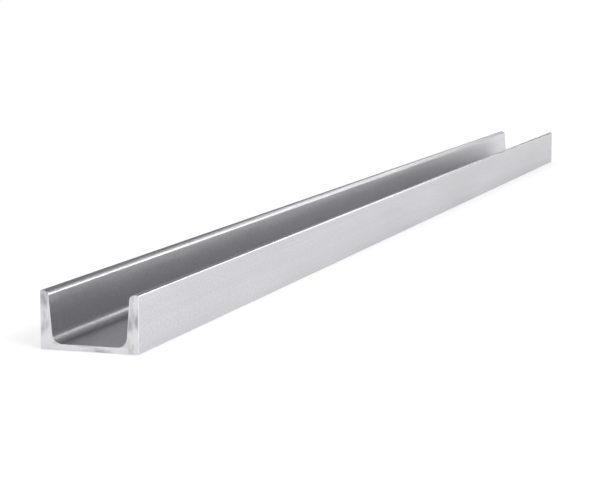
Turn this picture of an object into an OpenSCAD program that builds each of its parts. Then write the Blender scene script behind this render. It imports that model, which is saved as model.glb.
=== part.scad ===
// Hot-rolled steel channel with tapered flanges, one straight piece of stock.
// It lies on the back of its web, with both flanges pointing up.
// The section is in X and Z, the length runs along Y, and the origin is on
// the web's back, at the middle of the piece. Millimetres.

/* [Section] */
// Height of the section, between the outer faces of the flanges
section_height = 80; // [60:1:120]
// Width of each flange, from the web's back to the toe
flange_width = 45; // [35:1:65]
// Thickness of the web
web_thickness = 5; // [4:0.5:9]
// Thickness of each flange, halfway along its width
flange_thickness = 8.8; // [7:0.1:12]
// Slope of the flanges' inner faces, in percent
flange_slope = 8; // [2:1:10]

/* [Edges] */
// Radius of the fillets between the web and the flanges
root_radius = 8; // [4:0.5:12]
// Radius of the flanges' inner edges, at the toes
toe_radius = 4; // [1:0.5:5]
// Radius of the flanges' outer edges, at the toes
tip_radius = 1.2; // [0.2:0.1:1.5]
// Radius of the outer corners between the web and the flanges
heel_radius = 0.8; // [0.4:0.1:3]

/* [Stock] */
// Length of the piece, between its sawn ends
piece_length = 1600; // [400:100:6000]

/* [Hidden] */
$fn = 96;
// The cuts reach this far past the surfaces they leave
past = 2;
// The round corners' discs are this much over size, so they meet the faces
hair = 0.0003;

half_height = section_height / 2;

// How far a flange's inner face stands from the section's centre line,
// at a given distance from the web's back
function inner_face(y) =
    half_height - flange_thickness + (y - flange_width / 2) * flange_slope / 100;

// The straight-edged corners of one half of the section
heel = [half_height, 0];
tip = [half_height, flange_width];
toe = [inner_face(flange_width), flange_width];
root = [inner_face(web_thickness), web_thickness];

// The directions of the edges that meet in those corners
outward = [1, 0];
towards_toe = [0, 1];
up_inner_face = (toe - root) / norm(toe - root);

// What is left between a sharp corner and the round one of radius r.
// The corner's two edges leave it in the directions a and b.
module corner_cut(corner, a, b, r) {
    half_angle = acos(a * b) / 2;
    centre = corner + (a + b) / norm(a + b) * r / sin(half_angle);
    reach = r / tan(half_angle);
    difference() {
        polygon([
            centre,
            corner + a * reach, corner + a * reach - b * past,
            corner - (a + b) * past,
            corner + b * reach - a * past, corner + b * reach,
        ]);
        translate(centre) circle(r + hair);
    }
}

// The space between the flanges, with its fillets, open at the toes
module trough() {
    rim = toe + up_inner_face * past;
    difference() {
        polygon([root, rim, [-rim.x, rim.y], [-root.x, root.y]]);
        for (side = [0, 1]) mirror([side, 0])
            corner_cut(root, -outward, up_inner_face, root_radius);
    }
}

// The rolled section, with the web's back along X and the toes pointing up Y
module section() {
    difference() {
        translate([-half_height, 0]) square([section_height, flange_width]);
        trough();
        for (side = [0, 1]) mirror([side, 0]) {
            corner_cut(heel, -outward, towards_toe, heel_radius);
            corner_cut(tip, -outward, -towards_toe, tip_radius);
            corner_cut(toe, outward, -up_inner_face, toe_radius);
        }
    }
}

// The piece of stock: the section along its length, with square ends
module channel() {
    color([0.70, 0.70, 0.72])
        rotate([90, 0, 0])
            linear_extrude(height = piece_length, center = true) section();
}

channel();
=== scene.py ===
"""A length of hot-rolled steel channel, lying on its web, in a plain pale studio."""
import math

import bmesh
import bpy
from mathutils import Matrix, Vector


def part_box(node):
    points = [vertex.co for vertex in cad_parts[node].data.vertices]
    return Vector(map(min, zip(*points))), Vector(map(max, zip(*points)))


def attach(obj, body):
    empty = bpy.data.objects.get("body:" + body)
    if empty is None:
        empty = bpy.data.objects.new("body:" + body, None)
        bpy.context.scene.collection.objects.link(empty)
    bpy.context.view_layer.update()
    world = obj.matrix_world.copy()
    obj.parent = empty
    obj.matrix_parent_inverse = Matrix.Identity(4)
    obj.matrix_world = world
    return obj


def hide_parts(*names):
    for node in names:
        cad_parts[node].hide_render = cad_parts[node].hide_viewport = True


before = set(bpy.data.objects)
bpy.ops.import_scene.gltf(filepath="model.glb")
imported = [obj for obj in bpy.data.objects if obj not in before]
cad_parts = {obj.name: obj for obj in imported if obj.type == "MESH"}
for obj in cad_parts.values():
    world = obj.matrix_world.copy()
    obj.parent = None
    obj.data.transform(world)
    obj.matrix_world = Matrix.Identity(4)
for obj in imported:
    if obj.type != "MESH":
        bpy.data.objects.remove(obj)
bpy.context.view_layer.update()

# ---------------------------------------------------------------- sizes, in metres
LOW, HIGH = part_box("channel")
HALF_WIDTH = HIGH.x
FLANGE_HEIGHT = HIGH.z
LENGTH = HIGH.y - LOW.y

WEB_THICKNESS = 0.005
FLANGE_THICKNESS = 0.0088  # halfway up the flange
FLANGE_SLOPE = 0.08  # how far an inner face leans over, for its height
ROOT_RADIUS = 0.008  # the fillets between the web and the flanges
TOE_RADIUS = 0.004  # the inner edges of the toes
TIP_RADIUS = 0.0012  # the outer edges of the toes
HEEL_RADIUS = 0.0008  # the outer corners below
BROKEN_EDGE = 0.0004  # the break of the sawn edges

SAME_PLACE = 1e-5  # places closer than this are the same
SAWN_FACING = 0.99  # how squarely along the length a sawn face looks, at the least
FLAT_ANGLE = math.radians(1)  # faces that meet at less are one flat face
SMOOTH_ANGLE = math.radians(35)  # faces that meet at less are shaded as one curve
ROUND = 0.5  # the profile that makes a bevel a part of a circle


def inner_face_at(height):
    """How far a flange's inner face stands from the middle, at a height above the web's back."""
    return HALF_WIDTH - FLANGE_THICKNESS + (height - FLANGE_HEIGHT / 2) * FLANGE_SLOPE


# Where the web gives way to a flange, from the middle
WEB_END = inner_face_at(WEB_THICKNESS)


# ---------------------------------------------------------------- modelling helpers
def deselect_objects():
    for thing in bpy.context.selected_objects:
        thing.select_set(False)


def select_parts(piece, kind, wanted):
    """In edit mode, selects only the verts, edges or faces that the test wants."""
    bpy.ops.mesh.select_all(action="DESELECT")
    mode = {"verts": "VERT", "edges": "EDGE", "faces": "FACE"}[kind]
    bpy.ops.mesh.select_mode(type=mode)
    mesh = bmesh.from_edit_mesh(piece.data)
    for part in getattr(mesh, kind):
        part.select_set(bool(wanted(part)))
    mesh.select_flush_mode()
    bmesh.update_edit_mesh(piece.data)


def cut_through(place, normal):
    """In edit mode, cuts the whole mesh along a plane, and keeps both sides."""
    bpy.ops.mesh.select_all(action="SELECT")
    bpy.ops.mesh.bisect(plane_co=place, plane_no=normal)


def corner_reach(radius, angle):
    """How far along its two edges a round corner starts, from the sharp corner."""
    return radius / math.tan(angle / 2)


# ---------------------------------------------------------------- the channel
def rolled_outline(piece):
    """Cuts the flat plate in the XZ plane into the section's sharp-cornered outline."""
    for side in (-1, 1):
        cut_through((side * inner_face_at(0), 0, 0), (1, 0, -side * FLANGE_SLOPE))
    cut_through((0, 0, WEB_THICKNESS), (0, 0, 1))

    def in_trough(face):
        middle = face.calc_center_median()
        return middle.z > WEB_THICKNESS and abs(middle.x) < inner_face_at(middle.z)

    select_parts(piece, "faces", in_trough)
    bpy.ops.mesh.delete(type="FACE")
    bpy.ops.mesh.select_all(action="SELECT")
    bpy.ops.mesh.dissolve_limited(angle_limit=FLAT_ANGLE)


def round_corner(piece, height, across, radius, angle, segments):
    """Rounds the outline's pair of corners at that height, across from the middle."""

    def at_corner(vert):
        level = abs(vert.co.z - height) < SAME_PLACE
        return level and abs(abs(vert.co.x) - across) < SAME_PLACE

    select_parts(piece, "verts", at_corner)
    reach = corner_reach(radius, angle)
    bpy.ops.mesh.bevel(offset=reach, affect="VERTICES", segments=segments, profile=ROUND)


def round_corners(piece):
    """Rounds the fillets, the toes, their tips and the outer corners."""
    right = math.pi / 2
    blunt = right + math.atan(FLANGE_SLOPE)
    toe_across = inner_face_at(FLANGE_HEIGHT)
    round_corner(piece, WEB_THICKNESS, WEB_END, ROOT_RADIUS, blunt, segments=16)
    round_corner(piece, FLANGE_HEIGHT, toe_across, TOE_RADIUS, blunt, segments=12)
    round_corner(piece, FLANGE_HEIGHT, HALF_WIDTH, TIP_RADIUS, right, segments=6)
    round_corner(piece, 0, HALF_WIDTH, HEEL_RADIUS, right, segments=6)


def break_sawn_edges(piece):
    """Takes the sharpness off the edges round both sawn ends."""

    def is_sawn(edge):
        first, second = (vert.co for vert in edge.verts)
        return abs(first.y - second.y) < SAME_PLACE

    select_parts(piece, "edges", is_sawn)
    bpy.ops.mesh.bevel(offset=BROKEN_EDGE, affect="EDGES", segments=2, profile=ROUND)


def give_finishes(piece):
    """Gives the sawn ends their own finish, and every other face the rolled one."""

    def is_sawn(face):
        return abs(face.normal.y) > SAWN_FACING

    select_parts(piece, "faces", is_sawn)
    piece.data.materials.append(rolled_steel())
    piece.data.materials.append(sawn_steel())
    piece.active_material_index = 1
    bpy.ops.object.material_slot_assign()


def make_channel():
    deselect_objects()
    bpy.ops.mesh.primitive_plane_add(size=1, rotation=(math.pi / 2, 0, 0))
    piece = bpy.context.active_object
    piece.name = "rolled_channel"
    bpy.ops.object.transform_apply()
    bpy.ops.object.mode_set(mode="EDIT")
    bpy.ops.transform.resize(value=(2 * HALF_WIDTH, 1, FLANGE_HEIGHT))
    bpy.ops.transform.translate(value=(0, LOW.y, FLANGE_HEIGHT / 2))
    rolled_outline(piece)
    round_corners(piece)

    bpy.ops.mesh.select_all(action="SELECT")
    bpy.ops.mesh.extrude_region_move(TRANSFORM_OT_translate={"value": (0, LENGTH, 0)})
    bpy.ops.mesh.select_all(action="SELECT")
    bpy.ops.mesh.normals_make_consistent(inside=False)
    break_sawn_edges(piece)
    give_finishes(piece)
    bpy.ops.object.mode_set(mode="OBJECT")

    bpy.ops.object.shade_smooth_by_angle(angle=SMOOTH_ANGLE)
    weighted = piece.modifiers.new("flat faces stay flat", "WEIGHTED_NORMAL")
    weighted.keep_sharp = True
    bpy.ops.object.modifier_apply(modifier=weighted.name)
    return piece


# ---------------------------------------------------------------- shading helpers
# How cool steel differs from a plain grey, as shares of its level
LESS_GREEN = 0.008
MORE_BLUE = 0.03


def grey(level, coolness=0.0):
    """A plain grey, or steel's, with its trace of violet, where the coolness is 1."""
    return (level, level * (1 - LESS_GREEN * coolness), level * (1 + MORE_BLUE * coolness), 1)


class Shading:
    """The nodes of a material or a world, which drive its one shader."""

    def __init__(self, owner, shader):
        owner.use_nodes = True
        self.tree = owner.node_tree
        self.shader = self.tree.nodes[shader]

    def fill(self, node, inputs):
        """Joins a node's inputs to other nodes' outputs, or sets them to plain values."""
        for key, value in inputs.items():
            if isinstance(value, bpy.types.NodeSocket):
                self.tree.links.new(value, node.inputs[key])
            else:
                node.inputs[key].default_value = value

    def node(self, kind, inputs=None, **settings):
        """A new node with these inputs, and with these settings of its own."""
        node = self.tree.nodes.new("ShaderNode" + kind)
        for key, value in settings.items():
            setattr(node, key, value)
        self.fill(node, inputs or {})
        return node

    def drive(self, **sockets):
        """Fills the shader's own sockets, named with _ for a space."""
        self.fill(self.shader, {key.replace("_", " "): value for key, value in sockets.items()})

    def coordinates(self, kind="Object"):
        return self.node("TexCoord").outputs[kind]

    def axes(self, vector):
        """A vector's X, Y and Z."""
        return self.node("SeparateXYZ", {0: vector}).outputs

    def calculate(self, operation, first, second=0.0):
        return self.node("Math", {0: first, 1: second}, operation=operation).outputs[0]

    def remap(self, source, start, stop, low=0.0, high=1.0, **settings):
        """Turns a source that runs from start to stop into one from low to high."""
        sockets = {
            "Value": source,
            "From Min": start,
            "From Max": stop,
            "To Min": low,
            "To Max": high,
        }
        return self.node("MapRange", sockets, **settings).outputs["Result"]

    def colours(self, factor, first, second):
        """The first colour where the factor is 0, and the second where it is 1."""
        sockets = {0: factor, 6: first, 7: second}
        return self.node("Mix", sockets, data_type="RGBA").outputs[2]

    def seen_directly(self):
        """1 for rays from the camera, and for what polished or clear things show."""
        rays = self.node("LightPath").outputs
        shown = self.calculate("MAXIMUM", rays["Is Camera Ray"], rays["Is Glossy Ray"])
        return self.calculate("MAXIMUM", shown, rays["Is Transmission Ray"])


# ---------------------------------------------------------------- finishes
EDGE_ON_LEVEL = 0.58  # how bright steel is when it is seen edge on
EDGE_LIGHTENING_REACH = 0.0015  # how far in from an edge the steel is lightened, as rubbed wear and as a painted highlight
FULL_EDGE_LIGHTENING = EDGE_LIGHTENING_REACH / 3  # how far in it is brightened fully
SMEAR_TURN = 0.003  # half the width over which smears turn from the web's way to a flange's
SAW_OFFSET = (0.24, 0, -0.3)  # from the middle of the saw's strokes to the origin


class Finish(Shading):
    """Bare steel: its shader, its colours, and the patterns on the object's own coordinates."""

    def __init__(self, name, coolness):
        self.material = bpy.data.materials.new(name)
        super().__init__(self.material, "Principled BSDF")
        self.coolness = coolness
        self.position = self.coordinates()
        self.drive(Metallic=1.0, Specular_Tint=grey(EDGE_ON_LEVEL))

    def steel(self, level):
        return grey(level, self.coolness)

    def noise(self, scale, detail, density):
        """Noise that is drawn out along an axis where its density there is under 1."""
        mapping = self.node("Mapping", {"Vector": self.position, "Scale": density})
        sockets = {"Vector": mapping.outputs[0], "Scale": scale, "Detail": detail}
        return self.node("TexNoise", sockets).outputs["Fac"]

    def shade(self, base, colour, pattern, start, stop, strength=1.0):
        """Lays a colour on the base as the pattern goes from start to stop, up to a strength."""
        return self.colours(self.remap(pattern, start, stop, high=strength), base, colour)

    def bump(self, height, distance, strength, under=None):
        """A bumpy normal, on top of the one under it where there is one."""
        sockets = {"Height": height, "Distance": distance, "Strength": strength}
        if under:
            sockets["Normal"] = under
        return self.node("Bump", sockets).outputs["Normal"]


def rubbed_and_highlit_edges(finish):
    """1 on the long outer edges and the rims of the sawn ends, where the steel is lightened: partly
    rubbed wear, partly a painted highlight.
    """
    axes = finish.axes(finish.position)
    across = finish.calculate("ABSOLUTE", axes["X"])
    along = finish.calculate("ABSOLUTE", axes["Y"])
    side = finish.remap(across, HALF_WIDTH - EDGE_LIGHTENING_REACH, HALF_WIDTH - FULL_EDGE_LIGHTENING)
    top = finish.remap(axes["Z"], FLANGE_HEIGHT - EDGE_LIGHTENING_REACH, FLANGE_HEIGHT - FULL_EDGE_LIGHTENING)
    bottom = finish.remap(axes["Z"], EDGE_LIGHTENING_REACH, FULL_EDGE_LIGHTENING)
    long_edges = finish.calculate("MULTIPLY", side, finish.calculate("MAXIMUM", top, bottom))
    rims = finish.remap(along, LENGTH / 2 - EDGE_LIGHTENING_REACH, LENGTH / 2 - FULL_EDGE_LIGHTENING)
    edges = finish.calculate("MAXIMUM", long_edges, rims)
    blotches = finish.noise(scale=60.0, detail=3.0, density=(1, 0.15, 1))
    patches = finish.remap(blotches, 0.3, 0.7, low=0.7, high=1.0)
    return finish.calculate("MULTIPLY", edges, patches)


def rolled_steel():
    """Clean mill finish: a fine grain, with faint lines, bands and clouds along the length."""
    finish = Finish("rolled steel", coolness=1.0)
    lines = finish.noise(scale=600.0, detail=2.0, density=(1, 0.012, 1))
    bands = finish.noise(scale=110.0, detail=2.0, density=(1, 0.02, 1))
    grain = finish.noise(scale=800.0, detail=2.0, density=(1, 0.3, 1))
    clouds = finish.noise(scale=14.0, detail=4.0, density=(1, 0.4, 1))
    waves = finish.noise(scale=7.0, detail=1.0, density=(1, 0.5, 1))
    edges = rubbed_and_highlit_edges(finish)

    colour = finish.shade(finish.steel(0.75), finish.steel(0.8), bands, 0.3, 0.7)
    colour = finish.shade(colour, finish.steel(0.64), clouds, 0.35, 0.7, strength=0.35)
    colour = finish.shade(colour, finish.steel(0.52), grain, 0.35, 0.65, strength=0.34)
    # Lighter steel along the edges: partly rubbed wear, partly a painted highlight
    colour = finish.colours(edges, colour, finish.steel(0.85))

    satin = finish.remap(lines, 0.3, 0.7, low=0.28, high=0.38)
    rubbed = finish.calculate("MULTIPLY", edges, 0.1)
    uneven = finish.bump(waves, distance=0.0006, strength=0.3)
    lined = finish.bump(lines, distance=0.0001, strength=0.07, under=uneven)
    finish.drive(
        Base_Color=colour,
        Roughness=finish.calculate("SUBTRACT", satin, rubbed),
        Normal=finish.bump(grain, distance=0.0001, strength=0.08, under=lined),
    )
    return finish.material


def saw_strokes(finish):
    """The blade's strokes: fine rings round a middle far from the section, a little wavy."""
    offset = {"Vector": finish.position, "Location": SAW_OFFSET, "Scale": (1, 0, 1)}
    sockets = {
        "Vector": finish.node("Mapping", offset).outputs[0],
        "Scale": 260.0,
        "Distortion": 6.0,
        "Detail": 3.0,
        "Detail Scale": 2.0,
    }
    rings = finish.node("TexWave", sockets, wave_type="RINGS", rings_direction="Y")
    return rings.outputs["Fac"]


def sawn_steel():
    """A sawn end: the blade's fine curved strokes, under soft smears that follow the section."""
    finish = Finish("sawn steel", coolness=0.7)
    across = finish.calculate("ABSOLUTE", finish.axes(finish.position)["X"])
    in_flange = finish.remap(across, WEB_END - SMEAR_TURN, WEB_END + SMEAR_TURN)
    upright = finish.noise(scale=150.0, detail=3.0, density=(1, 1, 0.4))
    level = finish.noise(scale=150.0, detail=3.0, density=(0.35, 1, 1))
    smears = finish.node("Mix", {0: in_flange, 2: level, 3: upright}).outputs[0]
    strokes = saw_strokes(finish)

    colour = finish.shade(finish.steel(0.85), finish.steel(0.5), smears, 0.47, 0.68)
    colour = finish.shade(colour, finish.steel(0.5), strokes, 0.0, 1.0, strength=0.15)
    finish.drive(
        Base_Color=colour,
        Roughness=finish.remap(smears, 0.3, 0.7, low=0.40, high=0.58),
        Normal=finish.bump(strokes, distance=0.0001, strength=0.2),
    )
    return finish.material


# ---------------------------------------------------------------- studio
WHITE = grey(1.0)

FLOOR_SIZE = 30.0
FLOOR_LEVEL = 0.8
# The floor's own glow, near the piece and far from it, and where it starts and stops rising
GLOW_NEAR = 0.42
GLOW_FAR = 0.64
GLOW_START = 0.6
GLOW_STOP = 3.0

WORLD_LEVEL = 0.5  # the even light on everything
# The sky that steel mirrors, and the heights between which it goes from white to that level
SKY_LEVEL = 0.2
WHITE_BELOW = 0.02
DARK_ABOVE = 0.17

CAMERA_AZIMUTH = math.radians(15.8)
CAMERA_ELEVATION = math.radians(6.65)
CAMERA_DISTANCE = 2.18
CAMERA_AIM = Vector((0, -0.3, 0.02))
CAMERA_LENS = 115


def make_floor():
    deselect_objects()
    bpy.ops.mesh.primitive_plane_add(size=FLOOR_SIZE)
    floor = bpy.context.active_object
    floor.name = "floor"
    material = bpy.data.materials.new("pale floor")
    shading = Shading(material, "Principled BSDF")
    away = shading.node("VectorMath", {0: shading.coordinates()}, operation="LENGTH")
    glow = shading.remap(
        away.outputs["Value"],
        GLOW_START,
        GLOW_STOP,
        low=GLOW_NEAR,
        high=GLOW_FAR,
        interpolation_type="SMOOTHSTEP",
    )
    shading.drive(
        Base_Color=grey(FLOOR_LEVEL),
        Roughness=1.0,
        Specular_IOR_Level=0.0,
        Emission_Color=WHITE,
        Emission_Strength=shading.calculate("MULTIPLY", shading.seen_directly(), glow),
    )
    floor.data.materials.append(material)


def make_world():
    world = bpy.data.worlds.new("studio")
    bpy.context.scene.world = world
    shading = Shading(world, "Background")
    axes = shading.axes(shading.coordinates("Generated"))
    sky = shading.node("ValToRGB", {0: axes["Z"]})
    low, high = sky.color_ramp.elements
    low.position = WHITE_BELOW
    low.color = WHITE
    high.position = DARK_ABOVE
    high.color = grey(SKY_LEVEL)
    seen = shading.seen_directly()
    shading.drive(Color=shading.colours(seen, grey(WORLD_LEVEL), sky.outputs["Color"]))


def turn_to(thing, aim):
    """Turns a lamp or a camera at its place to look at a point."""
    thing.rotation_euler = (Vector(aim) - thing.location).to_track_quat("-Z", "Y").to_euler()


def make_softbox(name, place, aim, size, power):
    lamp = bpy.data.lights.new(name, "AREA")
    lamp.shape = "RECTANGLE"
    lamp.size, lamp.size_y = size
    lamp.energy = power
    box = bpy.data.objects.new(name, lamp)
    bpy.context.collection.objects.link(box)
    box.location = place
    turn_to(box, aim)
    box.visible_camera = False


def make_camera():
    centre = (LOW + HIGH) / 2
    offset = Vector((
        math.sin(CAMERA_AZIMUTH) * math.cos(CAMERA_ELEVATION),
        -math.cos(CAMERA_AZIMUTH) * math.cos(CAMERA_ELEVATION),
        math.sin(CAMERA_ELEVATION),
    ))
    lens = bpy.data.cameras.new("camera")
    lens.lens = CAMERA_LENS
    camera = bpy.data.objects.new("camera", lens)
    bpy.context.collection.objects.link(camera)
    camera.location = centre + CAMERA_DISTANCE * offset
    turn_to(camera, CAMERA_AIM)
    bpy.context.scene.camera = camera


make_camera()
channel = make_channel()
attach(channel, "root")
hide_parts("channel")

make_floor()
make_world()
make_softbox("right softbox", place=(1.6, -1.6, 1.3), aim=(0.3, -0.6, 0), size=(1.4, 1.0), power=16)
make_softbox("top softbox", place=(-0.4, 0.2, 1.9), aim=(0, 0, 0), size=(1.0, 2.4), power=9.5)
make_softbox("back strip", place=(0.35, 2.9, 0.95), aim=(0, 0, 0), size=(2.2, 0.4), power=9)
make_softbox("back right panel", place=(1.9, 3.0, 0.4), aim=(0, 0, 0.1), size=(1.6, 0.6), power=12)
bpy.context.scene.view_settings.view_transform = "Standard"
